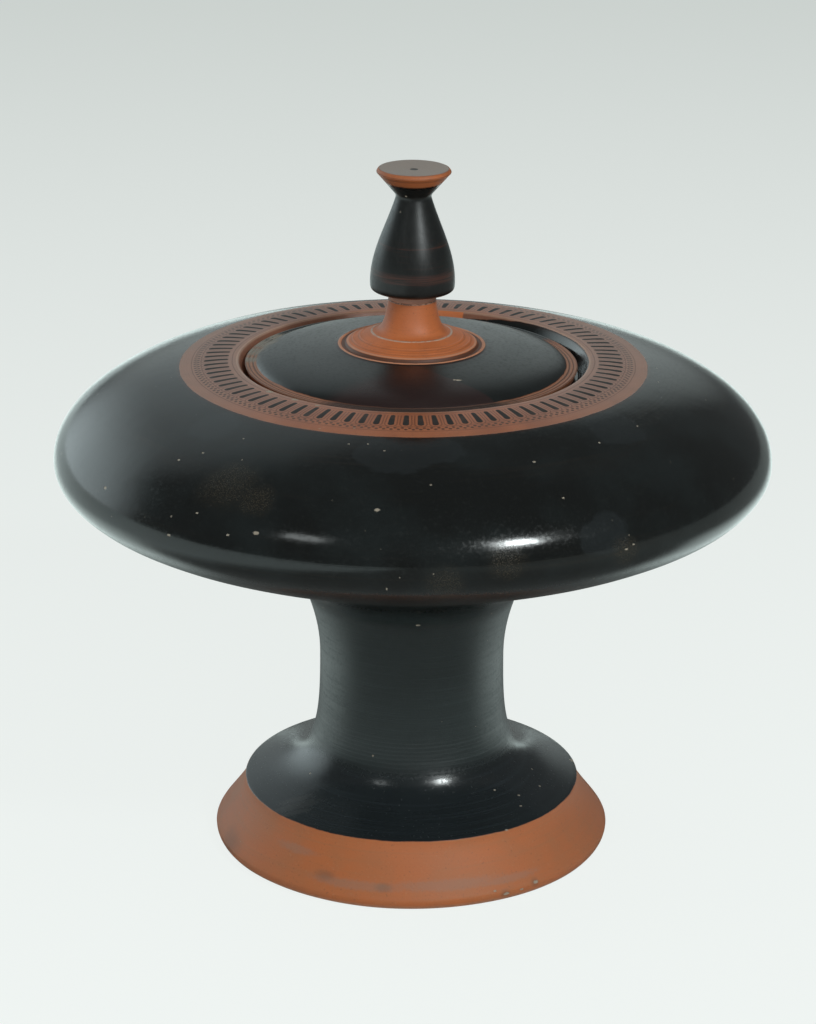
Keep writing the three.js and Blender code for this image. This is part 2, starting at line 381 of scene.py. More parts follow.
def blend(tree, mask, first, second):
    """The first colour where the mask is 0, the second where it is 1."""
    node = tree.nodes.new("ShaderNodeMix")
    node.data_type = "RGBA"
    join(tree, mask, node.inputs[0])
    join(tree, first, node.inputs[6])
    join(tree, second, node.inputs[7])
    return node.outputs[2]


def layered(tree, colour, *coats):
    """Lays coats over a colour one by one, each given as its masks and then its own colour."""
    for *masks, shade in coats:
        colour = blend(tree, times(tree, *masks), colour, shade)
    return colour


def raised(tree, value, *parts):
    """Adds each mask to the value, by its own amount."""
    for mask, amount in parts:
        value = scaled(tree, mask, amount, value)
    return value


def blend_value(tree, mask, first, second):
    return put(tree, "Mix", mask, None, first, second, data_type="FLOAT").outputs[0]


def noise(tree, place, scale, detail=2.0, distortion=0.0):
    node = put(tree, "TexNoise", place)
    node.inputs["Scale"].default_value = scale
    node.inputs["Detail"].default_value = detail
    node.inputs["Distortion"].default_value = distortion
    return node.outputs[0]


def new_group(name, takes, gives):
    """A node group with named inputs and outputs; returns it with the sockets inside it."""
    tree = bpy.data.node_groups.new(name, "ShaderNodeTree")
    for label, kind, value in takes:
        socket = tree.interface.new_socket(label, in_out="INPUT", socket_type="NodeSocket" + kind)
        if value is not None:
            socket.default_value = value
    for label, kind in gives:
        tree.interface.new_socket(label, in_out="OUTPUT", socket_type="NodeSocket" + kind)
    return tree, tree.nodes.new("NodeGroupInput").outputs, tree.nodes.new("NodeGroupOutput").inputs


def use(tree, group, **values):
    """Places a group in a material and returns its outputs by name."""
    node = tree.nodes.new("ShaderNodeGroup")
    node.node_tree = group
    for label, value in values.items():
        join(tree, value, node.inputs[label])
    return node.outputs


# Where a point lies on the wheel: its radius and height in millimetres, and its turn from the front
wheel_place, taken, given = new_group(
    "wheel place",
    [("Place", "Vector", None)],
    [("Radius", "Float"), ("Height", "Float"), ("Turn", "Float")],
)
tree = wheel_place
flat = put(tree, "VectorMath", taken["Place"], (1, 1, 0), operation="MULTIPLY").outputs[0]
apart = put(tree, "SeparateXYZ", taken["Place"]).outputs
join(tree, length(tree, flat), given["Radius"])
join(tree, apart[2], given["Height"])
toward_viewer = times(tree, apart[1], -1.0)
join(tree, maths(tree, "ARCTAN2", apart[0], toward_viewer), given["Turn"])

# Fine streaks that run round the pot, left by the wheel, the fingers and the brush
wheel_streaks, taken, given = new_group(
    "wheel streaks",
    [("Radius", "Float", 0), ("Height", "Float", 0), ("Turn", "Float", 0), ("Fineness", "Float", 1)],
    [("Streaks", "Float")],
)
tree = wheel_streaks
along = maths(tree, "SINE", taken["Turn"])
across = maths(tree, "COSINE", taken["Turn"])
level = times(tree, taken["Height"], taken["Fineness"])
reach = maths(tree, "ADD", times(tree, taken["Radius"], taken["Fineness"]), level)
sweep = put(tree, "CombineXYZ", along, across, reach).outputs[0]
join(tree, noise(tree, sweep, 1.0, 3.0), given["Streaks"])

# The black gloss: a refined slip, brushed on round the wheel and fired to a dark, uneven shine
GLOSS_DARK = (0.0052, 0.0058, 0.0054, 1)
GLOSS_PALE = (0.0095, 0.0122, 0.0122, 1)
GLOSS_THIN = (0.020, 0.015, 0.011, 1)
GLOSS_GRIT = (0.022, 0.024, 0.022, 1)
GLOSS_BROWN = (0.030, 0.011, 0.007, 1)

black_gloss, taken, given = new_group(
    "black gloss",
    [("Place", "Vector", None), ("Streaks", "Float", 0.5), ("Brown", "Float", 0)],
    [("Color", "Color"), ("Roughness", "Float"), ("Height", "Float")],
)
tree = black_gloss
cloud = noise(tree, taken["Place"], 0.045, 4.0)
speckle = noise(tree, taken["Place"], 0.9, 3.0)
ripple = noise(tree, taken["Place"], 0.16, 2.0)
shade = layered(
    tree,
    GLOSS_DARK,
    (soft_step(tree, cloud, 0.35, 0.7), GLOSS_PALE),
    (soft_step(tree, taken["Streaks"], 0.52, 0.78), 0.4, GLOSS_THIN),
    (soft_step(tree, speckle, 0.55, 0.8), 0.35, GLOSS_GRIT),
    (taken["Brown"], GLOSS_BROWN),
)
join(tree, shade, given["Color"])
dull = scaled(tree, cloud, 0.10, 0.045)
dull = raised(tree, dull, (soft_step(tree, speckle, 0.45, 0.75), 0.10), (taken["Streaks"], 0.09))
join(tree, dull, given["Roughness"])
skin = raised(tree, times(tree, ripple, 0.035), (taken["Streaks"], 0.006), (speckle, 0.008))
join(tree, skin, given["Height"])

# The fired clay where it is left bare: orange, mottled, with pores, pale grit and the wheel's lines
PALE_GRIT = (0.55, 0.32, 0.19, 1)
PORE_BROWN = (0.15, 0.055, 0.03, 1)

fired_clay, taken, given = new_group(
    "fired clay",
    [
        ("Place", "Vector", None),
        ("Streaks", "Float", 0.5),
        ("Clay", "Color", None),
        ("Shadow", "Color", None),
    ],
    [("Color", "Color"), ("Roughness", "Float"), ("Height", "Float")],
)
tree = fired_clay
mottle = noise(tree, taken["Place"], 0.09, 5.0, 0.4)
fine = noise(tree, taken["Place"], 1.3, 3.0)
shade = layered(
    tree,
    taken["Clay"],
    (soft_step(tree, mottle, 0.38, 0.70), 0.55, taken["Shadow"]),
    (soft_step(tree, taken["Streaks"], 0.5, 0.72), 0.42, taken["Shadow"]),
    (soft_step(tree, fine, 0.58, 0.78), 0.25, PALE_GRIT),
    (soft_step(tree, fine, 0.40, 0.24), 0.35, PORE_BROWN),
)
join(tree, shade, given["Color"])
join(tree, scaled(tree, fine, 0.18, 0.34), given["Roughness"])
join(tree, scaled(tree, taken["Streaks"], 0.035, times(tree, fine, 0.04)), given["Height"])

# Small lost flecks of gloss, scattered at random over the surface
lost_flecks, taken, given = new_group(
    "lost flecks",
    [("Place", "Vector", None), ("Density", "Float", 0.1), ("Share", "Float", 0.2), ("Size", "Float", 0.1)],
    [("Mask", "Float")],
)
tree = lost_flecks
cells = put(tree, "TexVoronoi", taken["Place"])
join(tree, taken["Density"], cells.inputs["Scale"])
chance = put(tree, "SeparateColor", cells.outputs["Color"]).outputs
kept = maths(tree, "LESS_THAN", chance[0], taken["Share"])
size = times(tree, taken["Size"], maths(tree, "ADD", chance[1], 0.35))
torn = noise(tree, taken["Place"], 1.6, 1.0)
apart = times(tree, cells.outputs["Distance"], maths(tree, "ADD", torn, 0.5))
join(tree, times(tree, maths(tree, "LESS_THAN", apart, size), kept), given["Mask"])

# One chip, scuff or stain at a given place, with a torn or a soft edge
mark, taken, given = new_group(
    "mark",
    [
        ("Place", "Vector", None),
        ("At", "Vector", None),
        ("Squeeze", "Vector", (1, 1, 1)),
        ("Size", "Float", 1),
        ("Soft", "Float", 0.1),
        ("Torn", "Float", 0.5),
    ],
    [("Mask", "Float")],
)
tree = mark
away = put(tree, "VectorMath", taken["Place"], taken["At"], operation="SUBTRACT").outputs[0]
away = put(tree, "VectorMath", away, taken["Squeeze"], operation="MULTIPLY").outputs[0]
share = maths(tree, "DIVIDE", length(tree, away), taken["Size"])
share = maths(tree, "ADD", share, maths(tree, "SUBTRACT", taken["Torn"], 0.5))
low = outside(tree, taken["Soft"])
high = maths(tree, "ADD", 1.0, taken["Soft"])
join(tree, outside(tree, soft_step(tree, share, low, high)), given["Mask"])


def on_wheel(turn, radius, height):
    """The point at a turn in degrees to the right of the front."""
    angle = math.radians(turn)
    return (radius * math.sin(angle), -radius * math.cos(angle), height)


def marked(tree, place, torn, soft, marks, squeeze=(1, 1, 1)):
    """The strongest of several marks: turn, radius, height, size and, where it isn't shared, squeeze."""
    masks = []
    for turn, radius, height, size, *own in marks:
        shape = {"Squeeze": own[0] if own else squeeze, "Size": size, "Soft": soft, "Torn": torn}
        masks.append(use(tree, mark, Place=place, At=on_wheel(turn, radius, height), **shape)["Mask"])
    return strongest(tree, *masks)


def streaked(tree, wheel, fineness):
    """The wheel's streaks, finer where the fineness is greater."""
    where = {name: wheel[name] for name in ("Radius", "Height", "Turn")}
    return use(tree, wheel_streaks, Fineness=fineness, **where)["Streaks"]


GLAZE_IOR = 1.6


def new_finish(name, location=(0, 0, 0), rotation=(0, 0, 0)):
    """A material with its shader, and its surface place in millimetres from the piece's own foot."""
    finish = bpy.data.materials.new(name)
    finish.use_nodes = True
    tree = finish.node_tree
    around = put(tree, "TexCoord").outputs["Object"]
    place = put(tree, "Mapping", around, location, rotation, (MM, MM, MM), vector_type="TEXTURE").outputs[0]
    shader = tree.nodes["Principled BSDF"]
    shader.inputs["IOR"].default_value = GLAZE_IOR
    return finish, tree, shader, place


def finished(tree, shader, colour, roughness, height):
    """Gives the shader its colour, its roughness and a bump whose height is in millimetres."""
    bump = put(tree, "Bump")
    bump.inputs["Strength"].default_value = 1.0
    bump.inputs["Distance"].default_value = MM
    join(tree, height, bump.inputs["Height"])
    join(tree, colour, shader.inputs["Base Color"])
    join(tree, roughness, shader.inputs["Roughness"])
    join(tree, bump.outputs[0], shader.inputs["Normal"])


# Tongues painted round the shoulder, each in a thin frame, with a chain of dots outside them
TONGUES = 92
TONGUE_INNER = 62.2
TONGUE_OUTER = 68.7
TONGUE_NARROW = 0.72
TONGUE_WIDE = 1.0
TONGUE_EDGE = 0.14
FRAME_GAP = 0.92
FRAME_WIDTH = 0.2
FRAME_START = (61.2, 62.0)
FRAME_RINGS = (60.2, 70.5, 73.7)
FRAME_RING_WIDTH = 0.14
DOTS = 196
DOT_ROWS = (71.5, 72.5)
DOT_SIZE = 0.52

tongue_frieze, taken, given = new_group(
    "tongue frieze",
    [("Radius", "Float", 0), ("Turn", "Float", 0)],
    [("Tongues", "Float"), ("Frames", "Float"), ("Dots", "Float")],
)
tree = tongue_frieze
reach = taken["Radius"]
turns = maths(tree, "DIVIDE", taken["Turn"], math.tau)
strokes = scaled(tree, turns, TONGUES, TONGUES)
sideways = maths(tree, "SUBTRACT", maths(tree, "FRACT", strokes), 0.5)
sideways = times(tree, sideways, times(tree, reach, math.tau / TONGUES))
held = maths(tree, "MINIMUM", strongest(tree, reach, TONGUE_INNER), TONGUE_OUTER)
beyond = maths(tree, "SUBTRACT", reach, held)
wide = put(tree, "MapRange", held, TONGUE_INNER, TONGUE_OUTER, TONGUE_NARROW, TONGUE_WIDE).outputs[0]
corner = put(tree, "CombineXYZ", sideways, beyond, 0.0).outputs[0]
edge = maths(tree, "SUBTRACT", length(tree, corner), wide)
join(tree, outside(tree, soft_step(tree, edge, -TONGUE_EDGE, TONGUE_EDGE)), given["Tongues"])
framed = maths(tree, "ABSOLUTE", maths(tree, "SUBTRACT", edge, FRAME_GAP))
framed = outside(tree, soft_step(tree, framed, FRAME_WIDTH * 0.5, FRAME_WIDTH * 1.6))
framed = times(tree, framed, soft_step(tree, reach, *FRAME_START))
for radius in FRAME_RINGS:
    line = ring(tree, reach, radius - FRAME_RING_WIDTH, radius + FRAME_RING_WIDTH, 0.1)
    framed = strongest(tree, framed, line)
join(tree, framed, given["Frames"])
dot_rows = []
for row, radius in enumerate(DOT_ROWS):
    beads = scaled(tree, turns, DOTS, DOTS + row * 0.5)
    aside = maths(tree, "SUBTRACT", maths(tree, "FRACT", beads), 0.5)
    aside = times(tree, aside, math.tau * radius / DOTS)
    spot = put(tree, "CombineXYZ", aside, maths(tree, "SUBTRACT", reach, radius), 0.0).outputs[0]
    dot_rows.append(soft_step(tree, length(tree, spot), DOT_SIZE * 1.4, DOT_SIZE * 0.6))
join(tree, strongest(tree, *dot_rows), given["Dots"])

BAND_OUTER = 77.7
BAND_INNER = 58.3
SHOULDER_START = (158.0, 162.0)
SLOPE_GLOSS_START = math.radians(55)
SLOPE_GLOSS_FULL = math.radians(126)
SLOPE_GLOSS_END = math.radians(163)
BACK_STRIP_START = math.radians(162.5)
BACK_STRIP_END = math.radians(175)
CREST_HIGHLIGHT_RING = (57.9, 58.9)
TOE_WEAR = (2.6, 1.2)
SATIN_LEVELS = (35.0, 96.0)
SATIN_REACH = (60.0, 40.0)
FOOT_TOP = (40.0, 28.0)
UNDERSIDE_LEVELS = (88.0, 131.0)
UNDERSIDE_REACH = (36.0, 60.0)
TURNED_LEVELS = (36.5, 46.0)
TURNED_PER_MM = 4.6
TURNED_WANDER = 3.0
CLAY = (0.40, 0.128, 0.054, 1)
CLAY_SHADOW = (0.27, 0.082, 0.036, 1)
BACK_STRIP_CLAY = (0.70, 0.19, 0.055, 1)
# The bare slope inside the mouth, darkened as painted shade under the lid's edge
SHADED_SLOPE_CLAY = (0.17, 0.085, 0.060, 1)
# The grey of a painted sheen on the sides of the clay
SIDE_SHEEN_GREY = (0.30, 0.25, 0.22, 1)
# Pale clay, for the worn toe and boss edges and for the painted highlight along the crest
PALE_WEAR_AND_HIGHLIGHT = (0.60, 0.38, 0.27, 1)
TONGUE_BLACK = (0.016, 0.013, 0.011, 1)
DOT_BROWN = (0.045, 0.020, 0.012, 1)
DILUTE = (0.085, 0.026, 0.012, 1)
FOOT_CLAY = (0.56, 0.155, 0.042, 1)
FOOT_CLAY_SHADOW = (0.47, 0.160, 0.056, 1)
FOOT_STAIN = (0.13, 0.085, 0.060, 1)
FOOT_SCUFF = (0.34, 0.22, 0.17, 1)
STEM_WORN = (0.027, 0.036, 0.036, 1)
FOOT_WORN = (0.024, 0.030, 0.034, 1)
TURNED_LINE = (0.060, 0.068, 0.070, 1)
LIGHT_GLOSS = (0.022, 0.026, 0.028, 1)
SCRATCH_GREY = (0.10, 0.095, 0.09, 1)
CHIP_CLAY = (0.42, 0.35, 0.27, 1)
WORN_BROWN = (0.105, 0.075, 0.042, 1)
FLAT_MARK = (0.8, 0.9, 1.6)
UPRIGHT_MARK = (2.2, 2.2, 0.5)

PALE_CHIPS = [
    (-56, 116.9, 147.2, 0.7),
    (-45, 103.4, 159.3, 0.4),
    (-41.7, 98.4, 161.7, 0.4),
    (-39, 119.3, 141.5, 0.6),
    (-28.5, 117.9, 145.6, 0.5),
    (-24, 116.8, 147.4, 0.8),
    (-35, 115.5, 149.4, 0.4),
    (-5.7, 109.0, 155.6, 0.7),
    (-9.8, 82.3, 167.5, 0.3),
    (-4.7, 117.5, 146.2, 0.3),
    (-3.8, 118.6, 134.8, 0.8, UPRIGHT_MARK),
    (25, 108.3, 156.1, 0.4),
    (23.3, 94.1, 163.7, 0.4),
    (39.4, 91.4, 164.7, 0.4),
    (33.1, 119.5, 140.3, 0.5),
    (34.5, 119.5, 141.3, 0.4),
    (3.1, 36.4, 89.7, 0.6),
    (42.7, 41.8, 27.6, 0.4),
    (51.5, 46.7, 25.0, 0.4),
    (65.5, 48.3, 24.3, 0.4),
    (98.9, 57.3, 21.0, 1.1),
    (33.7, 57.6, 20.8, 0.5),
    (47.2, 50.5, 23.4, 0.4),
    (-50.8, 59.3, 170.7, 1.1),
    (-39.5, 59.2, 170.7, 1.0),
    (-30.5, 60.0, 170.7, 0.7),
    (28.0, 67.8, 3.2, 0.9),
    (33.0, 67.9, 3.4, 0.6),
    (38.0, 67.6, 4.4, 0.8),
    (24.5, 67.3, 4.9, 0.5),
]
WORN_PATCHES = [
    (4.6, 118.8, 135.3, 5.0),
    (13.6, 119.1, 142.3, 5.0),
    (-32, 106.6, 157.2, 8.0),
    (-26, 109.5, 155.0, 5.0),
    (33, 119.5, 140.3, 4.0),
]
LIGHT_PATCHES = [
    (-4.0, 86.0, 166.5, 12.0, (1, 1.2, 1)),
    (5.0, 84.5, 167.0, 8.0, (1, 1.2, 1)),
    (47.0, 87.0, 166.0, 10.0),
    (-46.0, 86.0, 166.5, 8.0),
    (30.0, 118.5, 146.0, 9.0, (1, 1, 1.5)),
]
FOOT_STAINS = [
    (-67, 67.5, 5.5, 6.0, (1, 1, 1.6)),
    (-26.1, 64.6, 8.8, 2.2, (0.7, 0.7, 1.6)),
    (-8.1, 65.5, 7.6, 1.8, (0.7, 0.7, 1.6)),
    (27.5, 67.8, 3.3, 1.6),
    (37.8, 67.6, 4.4, 1.4),
]
FOOT_SCUFFS = [
    (11.0, 65.1, 8.2, 13.0, (0.7, 1, 9.0)),
    (-16.0, 65.6, 7.6, 11.0, (0.7, 1, 9.0)),
    (30.0, 66.0, 7.4, 9.0, (0.7, 1, 9.0)),
    (-40.0, 62.0, 13.5, 6.0, (0.6, 1, 5.0)),
]
DISC_SCUFFS = [
    (-49.0, 52.0, 22.9, 5.0, (0.6, 2.6, 1)),
    (-52.0, 50.0, 23.6, 4.0, (0.6, 3.0, 1)),
    (-46.0, 54.0, 22.2, 3.5, (0.7, 3.0, 1)),
]

vessel_finish, tree, shader, place = new_finish("painted_vessel")
wheel = use(tree, wheel_place, Place=place)
radius, height, turn = wheel["Radius"], wheel["Height"], wheel["Turn"]
streaks = streaked(tree, wheel, 0.9)
fine_streaks = streaked(tree, wheel, 2.6)
turned = soft_step(tree, fine_streaks, 0.50, 0.66)
wander = noise(tree, place, 0.12, 3.0)
torn = noise(tree, place, 1.1, 2.0)
ragged = noise(tree, place, 2.6, 2.0)
unsteady = scaled(tree, wander, 0.5, -0.25)
brushed_radius = maths(tree, "ADD", radius, unsteady)
brushed_height = maths(tree, "ADD", height, unsteady)

# Where the clay is left bare: the band, the foot's band and the slope inside the mouth
on_shoulder = soft_step(tree, height, *SHOULDER_START)
band = times(tree, ring(tree, brushed_radius, BAND_INNER, BAND_OUTER, 0.12), on_shoulder)
band_shadow = ring(tree, brushed_radius, BAND_INNER - 0.6, BAND_OUTER + 0.9, 0.5)
foot_clay_zone = soft_step(tree, brushed_height, FOOT_HEIGHT, FOOT_HEIGHT - 0.3)
on_slope = soft_step(tree, brushed_radius, BAND_INNER + 0.1, BAND_INNER - 0.1)
on_slope = times(tree, on_slope, on_shoulder)
ragged_turn = scaled(tree, wander, 0.3, maths(tree, "SUBTRACT", turn, 0.15))
gloss_reach = put(tree, "MapRange", ragged_turn, SLOPE_GLOSS_FULL, SLOPE_GLOSS_END)
gloss_reach.inputs["To Min"].default_value = BAND_INNER + 0.3
gloss_reach.inputs["To Max"].default_value = MOUTH_RADIUS - 0.9
gloss_reach = maths(tree, "SUBTRACT", gloss_reach.outputs[0], radius)
slope_start = soft_step(tree, ragged_turn, SLOPE_GLOSS_START - 0.05, SLOPE_GLOSS_START + 0.05)
slope_gloss = times(tree, soft_step(tree, gloss_reach, -0.12, 0.12), slope_start)
slope_bare = times(tree, on_slope, outside(tree, slope_gloss))
# A brighter orange strip on the slope at the back of the mouth
back_strip = times(tree, ring(tree, turn, BACK_STRIP_START, BACK_STRIP_END, 0.004), on_slope)
frieze = use(tree, tongue_frieze, Radius=brushed_radius, Turn=turn)
paint_wear = scaled(tree, soft_step(tree, wander, 0.30, 0.55), 0.25, 0.75)
tongue_paint = times(tree, frieze["Tongues"], paint_wear, band)
bare = strongest(tree, band, foot_clay_zone, slope_bare)
covered = strongest(tree, outside(tree, bare), tongue_paint)

# What has worn, chipped, stained or been rubbed since, with a painted sheen on the sides and a painted
# highlight along the crest
patches = marked(tree, place, wander, 0.6, WORN_PATCHES)
rubbed = soft_step(tree, ragged, 0.50, 0.66)
worn = times(tree, patches, scaled(tree, rubbed, 0.55, 0.12))
lighter = marked(tree, place, wander, 0.10, LIGHT_PATCHES)
stains = marked(tree, place, wander, 0.7, FOOT_STAINS)
scuffs = marked(tree, place, torn, 0.5, FOOT_SCUFFS)
scratches = marked(tree, place, torn, 0.5, DISC_SCUFFS)
chips = marked(tree, place, ragged, 0.15, PALE_CHIPS, FLAT_MARK)
flecks = use(tree, lost_flecks, Place=place, Density=0.2, Share=0.42, Size=0.06)["Mask"]
lost = strongest(tree, times(tree, flecks, 0.55), times(tree, chips, 0.85))
toe_wear = soft_step(tree, brushed_height, *TOE_WEAR)
# Painted highlight: a pale ring along the crest of the mouth
crest_highlight = times(tree, ring(tree, radius, *CREST_HIGHLIGHT_RING, 0.25), on_shoulder)
# Painted sheen: the clay greyed towards its left and right sides as seen from the front, most on the band,
# where the bright surroundings would be mirrored
sidelong = maths(tree, "ABSOLUTE", maths(tree, "SINE", turn))
painted_side_sheen = times(tree, soft_step(tree, sidelong, 0.3, 1.0), scaled(tree, band, 0.33, 0.12))
satin = times(tree, ring(tree, height, *SATIN_LEVELS, 4.0), soft_step(tree, radius, *SATIN_REACH))
foot_top = soft_step(tree, height, *FOOT_TOP)
wave = scaled(tree, wander, TURNED_WANDER, times(tree, height, TURNED_PER_MM))
wave = soft_step(tree, maths(tree, "SINE", wave), 0.35, 1.0)
turned_lines = times(tree, wave, ring(tree, height, *TURNED_LEVELS, 2.0), satin, torn)
gloss_edge = times(tree, maths(tree, "SUBTRACT", band_shadow, band), on_shoulder)

gloss = use(tree, black_gloss, Place=place, Streaks=streaks, Brown=times(tree, gloss_edge, 0.8))
clay_colour = blend(tree, foot_clay_zone, CLAY, FOOT_CLAY)
clay_shadow = blend(tree, foot_clay_zone, CLAY_SHADOW, FOOT_CLAY_SHADOW)
clay = use(tree, fired_clay, Place=place, Streaks=fine_streaks, Clay=clay_colour, Shadow=clay_shadow)
clay_shade = layered(
    tree,
    clay["Color"],
    # painted sheen on the sides
    (painted_side_sheen, SIDE_SHEEN_GREY),
    # painted shade on the bare slope under the lid's edge
    (slope_bare, 0.55, SHADED_SLOPE_CLAY),
    (frieze["Frames"], 0.62, band, DILUTE),
    (frieze["Dots"], 0.9, band, DOT_BROWN),
    (stains, 0.42, foot_clay_zone, FOOT_STAIN),
    (scuffs, 0.35, foot_clay_zone, FOOT_SCUFF),
    (toe_wear, 0.35, PALE_WEAR_AND_HIGHLIGHT),
    # painted highlight along the crest
    (crest_highlight, 0.45, PALE_WEAR_AND_HIGHLIGHT),
    (back_strip, BACK_STRIP_CLAY),
)
gloss_shade = layered(
    tree,
    gloss["Color"],
    (satin, scaled(tree, turned, 0.25, 0.75), STEM_WORN),
    (foot_top, scaled(tree, turned, 0.3, 0.6), FOOT_WORN),
    (turned_lines, 0.55, TURNED_LINE),
    (lighter, 0.42, LIGHT_GLOSS),
    (scratches, 0.22, SCRATCH_GREY),
)
colour = layered(
    tree,
    clay_shade,
    (covered, gloss_shade),
    (tongue_paint, TONGUE_BLACK),
    (worn, 0.5, covered, WORN_BROWN),
    (lost, CHIP_CLAY),
)
below_bowl = ring(tree, height, *UNDERSIDE_LEVELS, 3.0)
below_bowl = times(tree, below_bowl, soft_step(tree, radius, *UNDERSIDE_REACH))
roughness = blend_value(tree, covered, clay["Roughness"], gloss["Roughness"])
roughness = raised(tree, roughness, (satin, 0.20), (times(tree, satin, turned), 0.08))
roughness = blend_value(tree, tongue_paint, roughness, 0.65)
roughness = raised(
    tree,
    roughness,
    (foot_clay_zone, 0.12),
    (below_bowl, 0.25),
    (foot_top, 0.04),
    (strongest(tree, lost, worn), 0.3),
)
relief = raised(
    tree,
    blend_value(tree, covered, clay["Height"], gloss["Height"]),
    (covered, 0.03),
    (times(tree, satin, fine_streaks), 0.05),
    (fine_streaks, 0.012),
    (lost, -0.18),
)
finished(tree, shader, colour, roughness, relief)

# Inside and underneath the clay is bare, with the throwing lines of the fingers left in it
inner_clay, tree, shader, place = new_finish("bare_clay")
streaks = streaked(tree, use(tree, wheel_place, Place=place), 0.5)
clay = use(tree, fired_clay, Place=place, Streaks=streaks, Clay=CLAY, Shadow=CLAY_SHADOW)
finished(tree, shader, clay["Color"], clay["Roughness"], scaled(tree, streaks, 0.4, clay["Height"]))


def bare_where(piece, hidden):
    """Gives the piece its two materials, the bare clay on the faces that the test picks."""
    for polygon in piece.data.polygons:
        centre = polygon.center / MM
        radius = math.hypot(centre.x, centre.y)
        outward = (polygon.normal.x * centre.x + polygon.normal.y * centre.y) / max(radius, 0.01)
        polygon.material_index = 1 if hidden(radius, centre.z, outward, polygon.normal.z) else 0


def hidden_in_vessel(radius, height, outward, upward):
    in_bowl = floor_level - 1 < height < crest_level - 7 and radius < BOWL_RADIUS and outward < 0.02
    collar_back = inner_ceiling - 12 < height < ledge_level - 0.5 and radius < collar_radius + 4
    ceiling = height > widest_level and upward < -0.2
    under = height < hollow_ceiling + 1 and outward < 0.02 and radius < rest_inner + 0.5
    return in_bowl or collar_back or ceiling or under


vessel.data.materials.append(vessel_finish)
vessel.data.materials.append(inner_clay)
bare_where(vessel, hidden_in_vessel)
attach(vessel, "root")
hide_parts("vessel")

# The lid: a shallow dome with a flat rim, a flange that keeps it in the mouth, and a tall knob.
# It is thrown and turned in the same clay as the vessel and fired as one piece. It only rests in
# the mouth, a little to the left and a little aslant.
LID_SIDES = 192

LID_CLEARANCE = 2.3
LID_RIM_THICKNESS = 3.5
LID_RIM_WIDTH = 3.8
LID_EDGE_TAPER = 1.4
LID_EDGE_ROUNDING = 0.6
LID_DOME_RISE = 6.3
LID_WALL = 4.2
DOME_EDGE_STEEPNESS = 0.1
DOME_FULLNESS = 0.6
DOME_FLATNESS = 0.3
DOME_TOP_FALL = 0.2
FLANGE_CLEARANCE = 3.2
FLANGE_WALL = 3.6
FLANGE_DEPTH = 9.5
FLANGE_ROUNDING = 1.6
RIM_GROOVES = (53.9, 52.6)
RIM_GROOVE_DEPTH = 0.22
RIM_GROOVE_WIDTH = 0.3

RIDGE_RADIUS = 24.0
RIDGE_HEIGHT = 0.35
RIDGE_WIDTH = 0.45
BOSS_GAP = 1.7
BOSS_RADIUS = 21.7
BOSS_STEP = 0.9
BOSS_RISE = 3.5
BOSS_STEPS = (19.5, 17.2)
BOSS_STEP_HEIGHT = 0.28
BOSS_STEP_WIDTH = 0.35
BOSS_EDGE_ROUNDING = 0.35

KNOB_STEM_FOOT_RADIUS = 13.2
KNOB_STEM_RADIUS = 8.0
KNOB_STEM_HEIGHT = 11.0
KNOB_STEM_TAPER = 0.5
KNOB_COLLAR_HEIGHT = 3.1
TRUMPET_FLARE = 0.7
TRUMPET_STRAIGHTNESS = 0.43
PEAR_RADIUS = 14.1
PEAR_HEIGHT = 32.1
PEAR_SHOULDER = 3.2
PEAR_BASE_INSET = 0.9
PEAR_NECK_RADIUS = 5.75
PEAR_FULLNESS = 0.34
PEAR_FOOT_ROUNDING = 0.7
PEAR_ROOT_ROUNDING = 0.4
NECK_ROUNDING = 1.0
CAP_RADIUS = 12.5
CAP_HEIGHT = 9.0
CAP_EDGE = 1.3
CAP_EDGE_ROUNDING = 0.9
CAP_DISH = 0.6
CAP_RIM_ROUNDING = 0.5

LID_SHIFT = 0.7
LID_TILT = 0.5
SEAT_GAP = 0.3
LID_TREMOR = 0.12
LID_TREMOR_SPACING = 30.0

lid_radius = MOUTH_RADIUS - LID_CLEARANCE
dome_top = LID_RIM_THICKNESS + LID_DOME_RISE
boss_edge = dome_top + BOSS_STEP
boss_top = boss_edge + BOSS_RISE
knob_base = boss_top + KNOB_STEM_HEIGHT
pear_base = knob_base + KNOB_COLLAR_HEIGHT
pear_top = pear_base + PEAR_HEIGHT
cap_top = pear_top + CAP_HEIGHT
cap_rim = cap_top - CAP_EDGE
flange_outer = bore_radius - FLANGE_CLEARANCE
flange_inner = flange_outer - FLANGE_WALL
inner_rim = lid_radius - LID_RIM_WIDTH
dome_reach = inner_rim - RIDGE_RADIUS

lid_ceiling = Vector((0, dome_top - LID_WALL))
flange_root = Vector((flange_inner, LID_RIM_THICKNESS - LID_WALL / 2))
lid_outline = [lid_ceiling] + bend(
    lid_ceiling,
    (flange_inner / 2, lid_ceiling.y),
    flange_root.lerp(lid_ceiling, DOME_FLATNESS),
    flange_root,
    16,
)
for corner in (
    (flange_inner, -FLANGE_DEPTH),
    (flange_outer, -FLANGE_DEPTH),
    (flange_outer, 0),
    (lid_radius - LID_EDGE_TAPER, 0),
    (lid_radius, LID_RIM_THICKNESS),
    (inner_rim, LID_RIM_THICKNESS),
):
    lid_outline += straight(lid_outline[-1], corner, 12 if corner[0] == inner_rim else 4)
lid_outline += bend(
    (inner_rim, LID_RIM_THICKNESS),
    (inner_rim - DOME_EDGE_STEEPNESS * dome_reach, LID_RIM_THICKNESS + DOME_FULLNESS * LID_DOME_RISE),
    (RIDGE_RADIUS + DOME_FLATNESS * dome_reach, dome_top - DOME_TOP_FALL * LID_DOME_RISE),
    (RIDGE_RADIUS, dome_top),
    34,
)
lid_outline += straight((RIDGE_RADIUS, dome_top), (RIDGE_RADIUS - BOSS_GAP, dome_top), 4)
